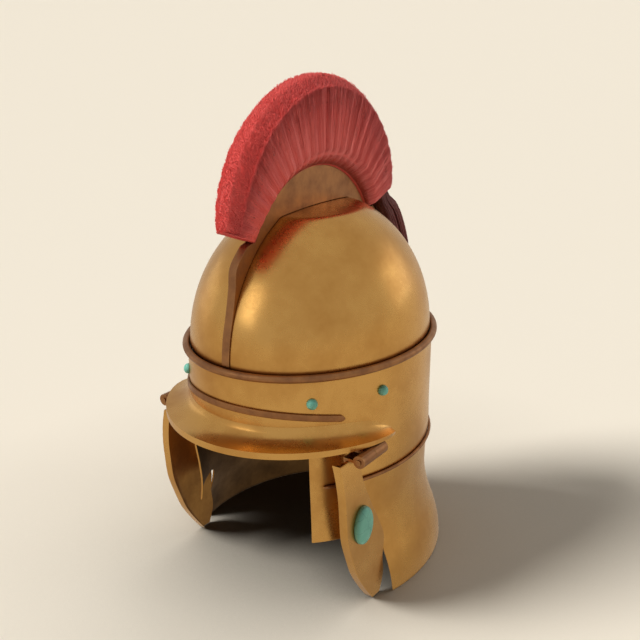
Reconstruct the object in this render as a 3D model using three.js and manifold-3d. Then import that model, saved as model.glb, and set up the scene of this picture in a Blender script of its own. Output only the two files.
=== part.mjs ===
// A crested bronze helmet with hinged cheek guards, standing on its neck rim.
// Millimetres, +Z up. The front faces -Y and the wearer's left is +X.
// Angles are in degrees from the front, positive towards the wearer's left.

import * as THREE from "three";
import { mergeVertices } from "three/addons/utils/BufferGeometryUtils.js";
import Module from "manifold-3d";

const wasm = await Module();
wasm.setup();

// Frame: heights and Y are measured from the brow ring's centre, which stands this high
// above the floor, and this far from the middle of the helmet's box.
const RING_HEIGHT = 197;
const RING_CENTRE_Y = -8.3;

// Every level of bowl and skirt is an oval, longer than it is wide by this ratio.
const OVAL = 1.2;
const SIDES = 48;
const WALL = 1.4;
const GAP = 0.3;
// How far a cutter runs past what it cuts, and how close two corners count as one.
const OVERRUN = 1;
const MERGE_DISTANCE = 1e-4;

// Bowl: half of an ellipsoid, cut off at the top by a nearly flat crown.
const BOWL_RADIUS = 91.5;
const BOWL_HEIGHT = 113;
const BOWL_LAP = 14;
const BOWL_ROWS = 7;
const CROWN_RADIUS = 38;
const CROWN_RISE = 1.7;

// Skirt: half-width at each height below the brow ring. The lower rows move back.
const SKIRT_RADIUS = BOWL_RADIUS + GAP + WALL;
const SKIRT_ROWS = [
  { height: -60, radius: SKIRT_RADIUS, back: 0 },
  { height: -84, radius: 93, back: 1 },
  { height: -106, radius: 91, back: 2 },
  { height: -126, radius: 90.4, back: 3 },
  { height: -140, radius: 91.8, back: 3.5 },
  { height: -155, radius: 95, back: 4 },
  { height: -171, radius: 100, back: 4.6 },
  { height: -186, radius: 103.2, back: 5.2 },
  { height: -197, radius: 104.2, back: 5.5 },
];
const FACE_ANGLE = 38.5;
const FACE_TOP = -48;
// The neck part starts behind the cheek guards: its front edge, from top to floor.
const SIDE_BOTTOM = -140;
const NECK_EDGE_TOP = -33;
const NECK_EDGE_FLOOR = -29;
const NECK_CORNER = 5;

// Round mouldings, and the strip on the brow.
const BROW_RING = { wire: 2.9, sides: 8 };
const NECK_RING = { height: -90.5, wire: 1.5, sides: 6, openAngle: 44 };
const STRIP = { angle: 54, middle: -27, ends: -35, tall: 5, thick: 1.6, steps: 28 };

// Peak: a crescent of nearly even reach that draws in and droops at its two tips. The two
// powers say how suddenly it does so, and how suddenly its rim thins.
const PEAK = {
  angle: 77.5,
  reach: 18,
  tipReach: 5,
  rootFront: -38.5,
  rootTip: -54,
  edgeFront: -49.2,
  edgeTip: -56,
  sweep: 8,
  thinning: 4,
  thick: 2,
  rim: 5.2,
  steps: 36,
  rows: 4,
};

// Round stones on the brow, and the oval boss on each cheek guard: low domes that rise
// straight for the first part of their height.
const DOME = { straight: 0.25, rows: 3 };
const STONE = { radius: 4.2, tall: 4.4, height: -20.5, sides: 12, angles: [-72, -40, 40, 72] };
const BOSS = { y: -66, height: -119.5, halfLength: 11, halfTall: 16.2, thick: 5.5, sides: 18 };

// Cheek guards: front and rear edge at each height, on a plate that leans out below.
const GUARD = { face: 92, lean: 5, leanHeight: -100, thick: 2.4, edgeThick: 7, columns: 6, steps: 13 };
const GUARD_ROWS = [
  { height: -62.5, front: -89.5, rear: -65.5 },
  { height: -84, front: -88.7, rear: -63 },
  { height: -108, front: -87, rear: -52 },
  { height: -127, front: -84.6, rear: -41 },
  { height: -146, front: -78, rear: -32.5 },
  { height: -164, front: -70.3, rear: -33.7 },
  { height: -181, front: -59.2, rear: -32.3 },
  { height: -195.8, front: -48, rear: -37.5 },
];

// Hinges: two knuckles on one pin, along Y. The rear one is held by a lug on the skirt.
const HINGE = { x: 96.5, height: -60, radius: 5, bore: 2.25, pin: 2, sides: 16, boreSides: 12 };
const HINGE_FRONT = -79;
const HINGE_MIDDLE = -62;
const HINGE_REAR = -46;
const PIN_PROUD = 1;
const LEAF = { front: -78, rear: -66, bottom: -80, thick: 1.8, web: 2.2, steps: 5 };
const LUG = { top: -59.6, bottom: -64, inner: 78 };

// Crest: hair fans out from a centre, between an inner and an outer circle, and each lock
// is widest between its root and its crown.
const CREST_CENTRE = { y: -2.5, z: 60 };
const CREST_INNER = { y: -3, z: 51, radius: 84.5 };
const CREST_OUTER = { y: 0.5, z: 92, radius: 103 };
const CREST_CROWN = 9;
const CREST_END_ANGLE = 22.3;
const CREST_HALF_WIDTH = 15;
const CREST_BASE_HALF_WIDTH = 5;
const CREST_FLARE = 11;
// It is full over most of its arch, and slims to this share at its two ends.
const CREST_END_SHARE = 0.74;
const CREST_SLIMMING = 6;
const BACKING = 5;
const LOCK = { count: 22, root: 2, overlap: 1.12, shoulder: 0.86 };
const LOCK_PITCH = (180 - 2 * CREST_END_ANGLE) / LOCK.count;

// Ridge: how far it stands proud of the bowl in front and behind, from the ring upwards.
const RIDGE_HALF_THICK = 3.5;
const RIDGE_EDGE = [
  { z: 3.2, proud: 1.1 },
  { z: 22, proud: 1.4 },
  { z: 43, proud: 2.6 },
  { z: 60, proud: 7.7 },
  { z: 76, proud: 16.7 },
  { z: 88.5, proud: 17.8 },
];

// Tail: middle line of the hair with its half-depth, from the crest's end downwards. Its
// strips lie in lanes, two deep, and narrow towards ends of uneven length.
const TAIL_PATH = [
  { y: 98.4, z: 90.5, halfDepth: 7 },
  { y: 109, z: 80, halfDepth: 9 },
  { y: 120, z: 63.5, halfDepth: 10 },
  { y: 131.5, z: 39, halfDepth: 11 },
  { y: 138, z: 9, halfDepth: 11.3 },
  { y: 140, z: -25, halfDepth: 9.7 },
  { y: 139.5, z: -58, halfDepth: 5 },
];
const TAIL = { lanes: 5, halfWidth: 11, stations: 6, overlap: 1.2, deep: 1.1, narrow: 0.5 };
const TAIL_UNEVEN = [0, 0.05, 0.1];
// Its head lies against the crest's back end, between two distances from the crest's centre.
const TAIL_HEAD = { inner: 97.5, outer: 112.5, share: 0.06 };

const BRONZE = { color: 0xb5803c, roughness: 0.35, metalness: 1 };
const BROWN = { color: 0x734b2d, roughness: 0.45, metalness: 1 };
const RED_HAIR = { color: 0xa53c38, roughness: 0.8, metalness: 0 };
const DARK_HAIR = { color: 0x5f2626, roughness: 0.85, metalness: 0 };
const TURQUOISE = { color: 0x55af96, roughness: 0.4, metalness: 0 };

const { degToRad, lerp } = THREE.MathUtils;

// A point of the oval with this half-width, at an angle from the front.
function ovalPoint(radius, angle, height, back = 0) {
  const turn = degToRad(angle);
  return new THREE.Vector3(radius * Math.sin(turn), back - OVAL * radius * Math.cos(turn), height);
}

// The value of a named column, read between the rows of a table ordered by height.
function columnAt(rows, column, height) {
  const last = rows.length - 1;
  const step = rows.findIndex((row) => height >= row.height);
  const below = step < 0 ? last : step;
  const above = Math.max(below - 1, 0);
  const span = rows[above].height - rows[below].height;
  const share = span > 0 ? (rows[above].height - height) / span : 0;
  return lerp(rows[above][column], rows[below][column], Math.min(share, 1));
}

// Solids: closed geometry in, joined or cut, and geometry out again.
function closedMesh(geometry) {
  const bare = geometry.clone();
  bare.deleteAttribute("normal");
  bare.deleteAttribute("uv");
  const merged = mergeVertices(bare, MERGE_DISTANCE);
  const corners = merged.index.array;
  const triangles = [];
  for (let i = 0; i < corners.length; i += 3) {
    const [a, b, c] = corners.slice(i, i + 3);
    if (a !== b && b !== c && c !== a) triangles.push(a, b, c);
  }
  return { points: Float32Array.from(merged.attributes.position.array), triangles };
}

function toSolid(geometry) {
  const { points, triangles } = closedMesh(geometry);
  const build = (order) =>
    new wasm.Manifold(
      new wasm.Mesh({ numProp: 3, vertProperties: points, triVerts: Uint32Array.from(order) }),
    );
  const solid = build(triangles);
  return solid.volume() > 0 ? solid : build(triangles.reverse());
}

function toGeometry(solid) {
  const mesh = solid.getMesh();
  const geometry = new THREE.BufferGeometry();
  geometry.setAttribute("position", new THREE.BufferAttribute(mesh.vertProperties.slice(), 3));
  geometry.setIndex(new THREE.BufferAttribute(mesh.triVerts.slice(), 1));
  geometry.computeVertexNormals();
  return geometry;
}

const join = (solids) => solids.reduce((sum, solid) => sum.add(solid));

// A surface from rows of points, each row closed and as long as the others.
function skin(rows, capped) {
  const wide = rows[0].length;
  const faces = [];
  for (let row = 0; row + 1 < rows.length; row += 1) {
    for (let i = 0; i < wide; i += 1) {
      const a = row * wide + i;
      const b = row * wide + ((i + 1) % wide);
      faces.push(a, b, b + wide, a, b + wide, a + wide);
    }
  }
  if (capped) {
    const end = (rows.length - 1) * wide;
    for (let i = 1; i + 1 < wide; i += 1) {
      faces.push(0, i + 1, i, end, end + i, end + i + 1);
    }
  }
  const geometry = new THREE.BufferGeometry().setFromPoints(rows.flat());
  geometry.setIndex(faces);
  return geometry;
}

// A solid lofted through closed convex sections.
const loft = (sections) => toSolid(skin(sections, true));

// A curved plate between two surfaces, both given over u and v from 0 to 1.
function plate(front, back, columns, rows) {
  const sections = [];
  for (let i = 0; i <= columns; i += 1) {
    const u = i / columns;
    const steps = Array.from({ length: rows + 1 }, (_, j) => j / rows);
    sections.push([
      ...steps.map((v) => front(u, v)),
      ...steps.reverse().map((v) => back(u, v)),
    ]);
  }
  const geometry = skin(sections, false);
  const wide = sections[0].length;
  const faces = Array.from(geometry.index.array);
  const end = columns * wide;
  for (let j = 0; j < rows; j += 1) {
    const across = wide - 1 - j;
    faces.push(j, across, j + 1, j + 1, across, across - 1);
    faces.push(end + j, end + j + 1, end + across, end + j + 1, end + across - 1, end + across);
  }
  geometry.setIndex(faces);
  return toSolid(geometry);
}

// A surface of revolution about Z, from [radius, height] pairs.
function turned(profile, sides) {
  const line = profile.map(([radius, height]) => new THREE.Vector2(radius, height));
  return new THREE.LatheGeometry(line, sides).rotateX(Math.PI / 2);
}

// The same, stretched into the helmet's oval and moved back by an amount at each height.
function ovalSolid(profile, backAt = () => 0) {
  const geometry = turned(profile, SIDES);
  const place = geometry.attributes.position;
  for (let i = 0; i < place.count; i += 1) {
    place.setY(i, place.getY(i) * OVAL + backAt(place.getZ(i)));
  }
  return toSolid(geometry);
}

// A closed circle of [radius, height] pairs, for a ring of wire.
function wireProfile(radius, height, { wire, sides }) {
  const pairs = [];
  for (let i = 0; i <= sides; i += 1) {
    const turn = (i % sides) * ((2 * Math.PI) / sides);
    pairs.push([radius + wire * Math.cos(turn), height - wire * Math.sin(turn)]);
  }
  return pairs;
}

// A flat outline of [first, second] pairs, extruded along Z between two places.
function extruded(outline, from, to) {
  const shape = new THREE.Shape(outline.map(([a, b]) => new THREE.Vector2(a, b)));
  const geometry = new THREE.ExtrudeGeometry(shape, { depth: to - from, bevelEnabled: false });
  return geometry.translate(0, 0, from);
}

// From an extrusion along Z to one along X, with the outline in Y and Z.
const alongX = (geometry) => geometry.rotateY(Math.PI / 2).rotateX(Math.PI / 2);

// A round bar on the hinge's axis.
function rod(radius, front, rear, sides) {
  const geometry = new THREE.CylinderGeometry(radius, radius, rear - front, sides);
  return toSolid(geometry.translate(HINGE.x, (front + rear) / 2, HINGE.height));
}

function block(low, high) {
  const size = high.map((value, i) => value - low[i]);
  const middle = high.map((value, i) => (value + low[i]) / 2);
  return toSolid(new THREE.BoxGeometry(...size).translate(...middle));
}

const skirtRadius = (height) => columnAt(SKIRT_ROWS, "radius", height);
const skirtBack = (height) => columnAt(SKIRT_ROWS, "back", height);

// Half-width of the bowl's outer surface below the crown, at a height above the ring.
const bowlRadius = (height) => BOWL_RADIUS * Math.sqrt(1 - (height / BOWL_HEIGHT) ** 2);

// Height of the bowl's outer surface above the ring, at a half-width.
function bowlHeight(radius) {
  const outside = Math.max(radius, CROWN_RADIUS);
  const height = BOWL_HEIGHT * Math.sqrt(1 - (outside / BOWL_RADIUS) ** 2);
  const inside = Math.min(radius, CROWN_RADIUS);
  return height + CROWN_RISE * (1 - (inside / CROWN_RADIUS) ** 2);
}

// Half-widths of the bowl from its lower edge up to the middle of the crown.
function bowlRadii() {
  const crownTurn = Math.acos(CROWN_RADIUS / BOWL_RADIUS);
  const turns = Array.from({ length: BOWL_ROWS + 1 }, (_, i) => (crownTurn * i) / BOWL_ROWS);
  return [...turns.map((turn) => BOWL_RADIUS * Math.cos(turn)), CROWN_RADIUS / 2, 0];
}

function makeBowl() {
  const outer = bowlRadii().map((radius) => [radius, bowlHeight(radius)]);
  const across = 1 - WALL / BOWL_RADIUS;
  const up = 1 - WALL / BOWL_HEIGHT;
  const inner = outer.map(([radius, height]) => [radius * across, height * up]);
  const lap = [[BOWL_RADIUS, -BOWL_LAP], [BOWL_RADIUS - WALL, -BOWL_LAP]];
  return ovalSolid([...outer.reverse(), ...lap, ...inner]);
}

// A wedge in plan that opens from the middle to the front, this far to each side.
function frontWedge(angle, low, high) {
  const { x, y } = ovalPoint(2 * SKIRT_RADIUS, angle, 0);
  return toSolid(extruded([[0, 0], [-x, y], [x, y]], low, high));
}

// The skirt is cut open in front of the face, and at the sides below the cheeks.
function makeSkirt() {
  const top = -BROW_RING.wire - GAP;
  const rows = [{ height: top, radius: SKIRT_RADIUS }, ...SKIRT_ROWS];
  const outer = rows.map(({ height, radius }) => [radius, height]);
  const inner = rows.map(({ height, radius }) => [radius - WALL, height]).reverse();
  const whole = ovalSolid([...outer, ...inner, outer[0]], skirtBack);
  const below = SKIRT_ROWS.at(-1).height - OVERRUN;
  const far = -2 * SKIRT_RADIUS;
  const sideCut = [
    [far, below],
    [NECK_EDGE_FLOOR, below],
    [NECK_EDGE_TOP, SIDE_BOTTOM - NECK_CORNER],
    [NECK_EDGE_TOP - NECK_CORNER, SIDE_BOTTOM],
    [far, SIDE_BOTTOM],
  ];
  return whole
    .subtract(frontWedge(FACE_ANGLE, below, FACE_TOP))
    .subtract(toSolid(alongX(extruded(sideCut, far, -far))));
}

function makeBrowRing() {
  return ovalSolid(wireProfile(BOWL_RADIUS + GAP + BROW_RING.wire, 0, BROW_RING));
}

function makeNeckRing() {
  const { height, wire, openAngle } = NECK_RING;
  const radius = skirtRadius(height) + GAP + wire;
  const whole = ovalSolid(wireProfile(radius, height, NECK_RING), skirtBack);
  const reach = wire + OVERRUN;
  return whole.subtract(frontWedge(openAngle, height - reach, height + reach));
}

function makeBrowStrip() {
  const at = (lift) => (u, v) => {
    const along = 2 * u - 1;
    const middle = lerp(STRIP.middle, STRIP.ends, along * along);
    const height = middle + STRIP.tall * (v - 0.5);
    return ovalPoint(SKIRT_RADIUS + GAP + lift, STRIP.angle * along, height);
  };
  return plate(at(STRIP.thick), at(0), STRIP.steps, 1);
}

function makePeak() {
  const side = (under) => (u, v) => {
    const along = 2 * u - 1;
    const spread = along ** PEAK.sweep;
    const reach = lerp(PEAK.reach, PEAK.tipReach, spread);
    const root = lerp(PEAK.rootFront, PEAK.rootTip, spread);
    const edge = lerp(PEAK.edgeFront, PEAK.edgeTip, spread);
    const top = lerp(root, edge, Math.sqrt(v * (2 - v)));
    const rim = lerp(PEAK.rim, PEAK.thick, along ** PEAK.thinning);
    const thick = lerp(PEAK.thick, rim, v);
    return ovalPoint(SKIRT_RADIUS + GAP + reach * v, PEAK.angle * along, top - under * thick);
  };
  return plate(side(0), side(1), PEAK.steps, PEAK.rows);
}

// A low dome about Z, of unit half-width and height.
function dome(sides) {
  const profile = [[0, 0], [1, 0]];
  for (let i = 0; i < DOME.rows; i += 1) {
    const turn = ((i / DOME.rows) * Math.PI) / 2;
    profile.push([Math.cos(turn), lerp(DOME.straight, 1, Math.sin(turn))]);
  }
  profile.push([0, 1]);
  return turned(profile.reverse(), sides);
}

function makeStone(angle) {
  const foot = ovalPoint(SKIRT_RADIUS + GAP, angle, STONE.height);
  const facing = new THREE.Vector3(OVAL * Math.sin(degToRad(angle)), -Math.cos(degToRad(angle)), 0);
  const up = new THREE.Vector3(0, 0, 1);
  const stand = new THREE.Quaternion().setFromUnitVectors(up, facing.normalize());
  const geometry = dome(STONE.sides).scale(STONE.radius, STONE.radius, STONE.tall);
  return toSolid(geometry.applyQuaternion(stand).translate(foot.x, foot.y, foot.z));
}

// The cheek guard's outer face leans out from its hinge and is upright below.
function guardFace(height) {
  const top = GUARD_ROWS[0].height;
  const lean = Math.max(0, height - GUARD.leanHeight) / (top - GUARD.leanHeight);
  return GUARD.face - GUARD.lean * lean * lean;
}

// The guard's front edge is thicker than the rest of the plate.
function makeGuard() {
  const side = (inner) => (u, v) => {
    const height = lerp(GUARD_ROWS[0].height, GUARD_ROWS.at(-1).height, v);
    const front = columnAt(GUARD_ROWS, "front", height);
    const rear = columnAt(GUARD_ROWS, "rear", height);
    const thick = u === 0 ? GUARD.edgeThick : GUARD.thick;
    return new THREE.Vector3(guardFace(height) - inner * thick, lerp(front, rear, u), height);
  };
  return plate(side(0), side(1), GUARD.columns, GUARD.steps);
}

function makeBoss() {
  const geometry = dome(BOSS.sides)
    .scale(BOSS.halfTall, BOSS.halfLength, BOSS.thick)
    .rotateY(Math.PI / 2)
    .translate(GUARD.face + GAP, BOSS.y, BOSS.height);
  return toSolid(geometry);
}

// A knuckle of the hinge, and the hole for the pin through it.
const knuckle = (front, rear) => rod(HINGE.radius, front, rear, HINGE.sides);
const bore = (front, rear) => rod(HINGE.bore, front - OVERRUN, rear + OVERRUN, HINGE.boreSides);

// The moving half of a hinge: a knuckle, a web over the guard's top, a leaf inside it.
function makeHingeLeaf() {
  const top = GUARD_ROWS[0].height + GAP;
  const faceAt = (height) => guardFace(Math.min(height, GUARD_ROWS[0].height)) - GUARD.thick - GAP;
  const side = (inward) => (u, v) => {
    const height = lerp(top + LEAF.web, LEAF.bottom, v);
    return new THREE.Vector3(faceAt(height) - inward, lerp(LEAF.front, LEAF.rear, u), height);
  };
  const inside = faceAt(top) - LEAF.thick / 2;
  const web = block([inside, LEAF.front, top], [HINGE.x, LEAF.rear, top + LEAF.web]);
  const leaf = plate(side(0), side(LEAF.thick), 1, LEAF.steps);
  const rear = HINGE_MIDDLE - GAP;
  return join([knuckle(HINGE_FRONT, rear), web, leaf]).subtract(bore(HINGE_FRONT, rear));
}

// The fixed half: a knuckle on a lug that is shaped to the skirt's wall.
function makeHingeLug() {
  const lug = block([LUG.inner, HINGE_MIDDLE, LUG.bottom], [HINGE.x, HINGE_REAR, LUG.top]);
  const clear = SKIRT_RADIUS + GAP;
  const high = HINGE.height + 2 * HINGE.radius;
  const low = HINGE.height - 2 * HINGE.radius;
  const wall = ovalSolid([[0, low], [clear, low], [clear, high], [0, high]]);
  return join([knuckle(HINGE_MIDDLE, HINGE_REAR), lug])
    .subtract(bore(HINGE_MIDDLE, HINGE_REAR))
    .subtract(wall);
}

function makeHingePin() {
  return rod(HINGE.pin, HINGE_FRONT - PIN_PROUD, HINGE_REAR + PIN_PROUD, HINGE.boreSides);
}

// The way out from the crest's centre, in Y and Z, at an angle up from the front.
const crestOut = (angle) => new THREE.Vector2(-Math.cos(degToRad(angle)), Math.sin(degToRad(angle)));

// Distance from the crest's centre to a circle, along the way out.
function reachTo(circle, angle) {
  const offset = new THREE.Vector2(CREST_CENTRE.y - circle.y, CREST_CENTRE.z - circle.z);
  const along = offset.dot(crestOut(angle));
  return Math.sqrt(along * along - offset.lengthSq() + circle.radius ** 2) - along;
}

// A point of the crest: angle, distance out, and offsets across and along the arch.
function crestPoint(angle, distance, across = 0, along = 0) {
  const out = crestOut(angle);
  const y = CREST_CENTRE.y + out.x * distance + out.y * along;
  const z = CREST_CENTRE.z + out.y * distance - out.x * along;
  return new THREE.Vector3(across, y, z);
}

// Share of the crest's full section at an angle.
function crestFullness(angle) {
  const toEnd = Math.abs(angle - 90) / (90 - CREST_END_ANGLE);
  return lerp(1, CREST_END_SHARE, toEnd ** CREST_SLIMMING);
}

// Angles of the crest's arch from its front end to its back end, one lock apart.
const archAngles = Array.from({ length: LOCK.count + 1 }, (_, i) => CREST_END_ANGLE + LOCK_PITCH * i);

// Half of a lock's length along the arch, at a distance from the crest's centre.
const lockHalf = (distance) => distance * Math.tan(degToRad(LOCK_PITCH / 2)) * LOCK.overlap;

function makeLock(angle) {
  const inner = reachTo(CREST_INNER, angle);
  const outer = reachTo(CREST_OUTER, angle);
  const full = crestFullness(angle);
  const stations = [
    { distance: inner + LOCK.root, wide: CREST_BASE_HALF_WIDTH },
    { distance: inner + CREST_FLARE, wide: CREST_HALF_WIDTH * full },
    { distance: outer, wide: CREST_HALF_WIDTH * full },
    { distance: outer + CREST_CROWN * full, wide: CREST_BASE_HALF_WIDTH * full },
  ];
  const section = ({ distance, wide }) => {
    const half = lockHalf(distance);
    const shoulder = wide * LOCK.shoulder;
    const left = [[shoulder, -half], [wide, 0], [shoulder, half]];
    const right = [[-shoulder, half], [-wide, 0], [-shoulder, -half]];
    return [...left, ...right].map(([across, along]) => crestPoint(angle, distance, across, along));
  };
  return loft(stations.map(section));
}

function makeCrest() {
  const wide = CREST_BASE_HALF_WIDTH;
  const corners = [[-wide, 0], [wide, 0], [wide, BACKING], [-wide, BACKING]];
  const backing = archAngles.map((angle) => {
    const inner = reachTo(CREST_INNER, angle);
    return corners.map(([across, lift]) => crestPoint(angle, inner + lift, across));
  });
  const locks = archAngles.slice(1).map((angle) => makeLock(angle - LOCK_PITCH / 2));
  return join([loft(backing), ...locks]);
}

// The ridge's outline in Y and Z: up the front, under the crest, down the back and
// home along the bowl.
function makeRidge() {
  const behind = RIDGE_EDGE.map(({ z, proud }) => [OVAL * bowlRadius(z) + proud, z]);
  const arch = archAngles.map((angle) => {
    const { y, z } = crestPoint(angle, reachTo(CREST_INNER, angle) - GAP);
    return [y, z];
  });
  const [, ...seat] = bowlRadii().map((radius) => [OVAL * radius, bowlHeight(radius) + GAP]);
  const top = seat.pop();
  const bottom = RIDGE_EDGE[0].z;
  const home = [[OVAL * bowlRadius(bottom) + GAP, bottom], ...seat];
  const forward = (line) => line.map(([y, z]) => [-y, z]);
  const upFront = forward(behind);
  const outline = [...upFront, ...arch, ...behind.reverse(), ...home, top, ...forward(home).reverse()];
  return toSolid(alongX(extruded(outline, -RIDGE_HALF_THICK, RIDGE_HALF_THICK)));
}

// Half of the tail's depth at a share of its length.
function tailDepth(share) {
  const place = share * (TAIL_PATH.length - 1);
  const row = Math.min(Math.floor(place), TAIL_PATH.length - 2);
  return lerp(TAIL_PATH[row].halfDepth, TAIL_PATH[row + 1].halfDepth, place - row);
}

// A point of the tail: share of its length, offset across, and share of its half-depth out.
function tailPoint(line, share, across, deep) {
  const { y, z } = line.getTangent(share);
  const out = new THREE.Vector3(0, -z, y);
  return line.getPoint(share).addScaledVector(out, deep * tailDepth(share)).setX(across);
}

// A strip of hair along the tail's line, in a lane across it and a layer of its depth.
function makeTailStrip(line, lane, layer, length) {
  const sections = [];
  for (let i = 0; i <= TAIL.stations; i += 1) {
    const share = (i / TAIL.stations) * length;
    const wide = (TAIL.halfWidth / TAIL.lanes) * TAIL.overlap * (1 - TAIL.narrow * share * share);
    const left = [[wide / 2, -TAIL.deep], [wide, 0], [wide / 2, TAIL.deep]];
    const right = [[-wide / 2, TAIL.deep], [-wide, 0], [-wide / 2, -TAIL.deep]];
    const corners = [...left, ...right];
    sections.push(corners.map(([x, deep]) => tailPoint(line, share, lane + x, (layer + deep) / 2)));
  }
  return loft(sections);
}

function makeTailHead(line) {
  const endLock = archAngles.at(-1) - LOCK_PITCH / 2;
  const wide = TAIL.halfWidth;
  const { inner, outer, share } = TAIL_HEAD;
  const corners = [[-wide, inner], [wide, inner], [wide, outer], [-wide, outer]];
  const atCrest = corners.map(([across, distance]) =>
    crestPoint(endLock, distance, across, lockHalf(distance) + GAP),
  );
  const inTail = corners.map(([across, distance]) =>
    tailPoint(line, share, across, distance === inner ? -1 : 1),
  );
  return loft([atCrest, inTail]);
}

function makeTail() {
  const line = new THREE.CatmullRomCurve3(TAIL_PATH.map(({ y, z }) => new THREE.Vector3(0, y, z)));
  const strips = [];
  for (let i = 0; i < TAIL.lanes; i += 1) {
    const lane = TAIL.halfWidth * ((2 * i + 1) / TAIL.lanes - 1);
    for (const layer of [-1, 1]) {
      const shorter = TAIL_UNEVEN[strips.length % TAIL_UNEVEN.length];
      strips.push(makeTailStrip(line, lane, layer, 1 - shorter));
    }
  }
  return join([makeTailHead(line), ...strips]);
}

function addPiece(group, name, solid, finish) {
  const mesh = new THREE.Mesh(toGeometry(solid), new THREE.MeshStandardMaterial(finish));
  mesh.name = name;
  group.add(mesh);
}

const helmet = new THREE.Group();
helmet.position.set(0, RING_CENTRE_Y, RING_HEIGHT);
addPiece(helmet, "bowl", makeBowl(), BRONZE);
addPiece(helmet, "skirt", makeSkirt(), BRONZE);
addPiece(helmet, "brow_ring", makeBrowRing(), BROWN);
addPiece(helmet, "neck_ring", makeNeckRing(), BROWN);
addPiece(helmet, "brow_strip", makeBrowStrip(), BROWN);
addPiece(helmet, "brow_peak", makePeak(), BRONZE);
addPiece(helmet, "crest_ridge", makeRidge(), BROWN);
addPiece(helmet, "crest", makeCrest(), RED_HAIR);
addPiece(helmet, "crest_tail", makeTail(), DARK_HAIR);
STONE.angles.forEach((angle, i) => {
  addPiece(helmet, `brow_stone_${i + 1}`, makeStone(angle), TURQUOISE);
});

// The right cheek is the left one mirrored.
for (const [side, mirror] of [["left", 1], ["right", -1]]) {
  const cheek = new THREE.Group();
  cheek.scale.x = mirror;
  helmet.add(cheek);
  addPiece(cheek, `cheek_guard_${side}`, makeGuard(), BRONZE);
  addPiece(cheek, `cheek_boss_${side}`, makeBoss(), TURQUOISE);
  addPiece(cheek, `hinge_leaf_${side}`, makeHingeLeaf(), BROWN);
  addPiece(cheek, `hinge_lug_${side}`, makeHingeLug(), BROWN);
  addPiece(cheek, `hinge_pin_${side}`, makeHingePin(), BROWN);
}

const root = new THREE.Group();
root.add(helmet);

export default root;
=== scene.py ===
# %% [markdown]
# # A crested bronze helmet
# The helmet stands on the rim of its neck guard. The construction comes in as a fixed frame: every
# piece has its place and size there. This lesson dresses that frame, piece by piece, with smooth
# metal, cut stone and horsehair. Each new piece rides on the body that it moves with, and the plain
# solid that it stands for is hidden.

import math

import bmesh
import bpy
import numpy as np
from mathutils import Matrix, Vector


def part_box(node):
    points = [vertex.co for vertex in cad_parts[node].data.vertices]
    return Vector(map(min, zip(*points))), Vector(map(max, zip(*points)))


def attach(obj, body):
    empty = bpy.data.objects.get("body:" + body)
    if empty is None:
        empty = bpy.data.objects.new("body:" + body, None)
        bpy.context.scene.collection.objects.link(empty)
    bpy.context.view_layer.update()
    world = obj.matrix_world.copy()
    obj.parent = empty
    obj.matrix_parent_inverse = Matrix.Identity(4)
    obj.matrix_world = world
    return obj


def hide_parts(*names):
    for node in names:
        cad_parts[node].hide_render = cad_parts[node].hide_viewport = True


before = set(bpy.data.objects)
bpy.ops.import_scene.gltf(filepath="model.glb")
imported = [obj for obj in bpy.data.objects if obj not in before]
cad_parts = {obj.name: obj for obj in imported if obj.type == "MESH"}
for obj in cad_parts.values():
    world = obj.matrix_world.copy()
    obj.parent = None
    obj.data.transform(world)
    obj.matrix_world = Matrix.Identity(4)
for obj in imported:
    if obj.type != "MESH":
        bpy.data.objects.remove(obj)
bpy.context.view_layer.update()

# %% [markdown]
# ## The camera
# The camera looks down at the helmet from its front left corner. It is set by the angles that a
# photographer would note, a point that it looks at and a distance, because those can be read back
# and changed one at a time. A rotation matrix would give the same picture and tell nobody anything.

# %% Camera
MM = 0.001
CAMERA_AZIMUTH = 34.84
CAMERA_ELEVATION = 19.28
CAMERA_DISTANCE = 763.4 * MM
CAMERA_TARGET = Vector((0, 2.2, 201.6)) * MM
CAMERA_LENS = 51.56


def direction(azimuth, elevation):
    """The way from the helmet towards something seen at these angles, 0 being straight in front."""
    side = math.radians(azimuth)
    up = math.radians(elevation)
    return Vector((math.sin(side) * math.cos(up), -math.cos(side) * math.cos(up), math.sin(up)))


def aim(obj, place, target):
    """Puts a camera or a light somewhere and turns it to a target."""
    obj.location = place
    obj.rotation_euler = (target - place).to_track_quat("-Z", "Y").to_euler()
    bpy.context.scene.collection.objects.link(obj)


camera = bpy.data.objects.new("camera", bpy.data.cameras.new("camera"))
camera.data.lens = CAMERA_LENS
to_camera = direction(CAMERA_AZIMUTH, CAMERA_ELEVATION)
aim(camera, CAMERA_TARGET + to_camera * CAMERA_DISTANCE, CAMERA_TARGET)
bpy.context.scene.camera = camera
print("camera at", [round(value, 3) for value in camera.location])

# %% [markdown]
# ## Measures
# A helmet maker works from the brow: heights go up and down from there, and every level of the
# bowl is the same oval, larger or smaller. So the points of every piece are written in
# millimetres from the middle of the brow ring, and one function makes the oval. The ring's place
# and the oval's ratio are measured on the frame.

# %% Brow centre and oval
ring_low, ring_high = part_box("brow_ring")
BROW_CENTRE = np.array((ring_low + ring_high) / 2) / MM
bowl_low, bowl_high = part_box("bowl")
BOWL_RADIUS = (bowl_high.x - bowl_low.x) / 2 / MM
OVAL = (bowl_high.y - bowl_low.y) / (bowl_high.x - bowl_low.x)
WALL = 1.4
# Pieces that touch keep this much air, so that no two faces lie in the same place.
SEAT = 0.05
# The bowl stands loosely inside the top of the skirt.
JOINT_AIR = 0.3
SKIRT_RADIUS = BOWL_RADIUS + JOINT_AIR + WALL


def lerp(start, end, share):
    return start + (end - start) * share


def smooth_step(value, low, high):
    share = np.clip((value - low) / (high - low), 0, 1)
    return share * share * (3 - 2 * share)


def xyz(x, y, z):
    """Points from three coordinates, each a number or an array."""
    return np.stack(np.broadcast_arrays(x, y, z), axis=-1)


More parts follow.
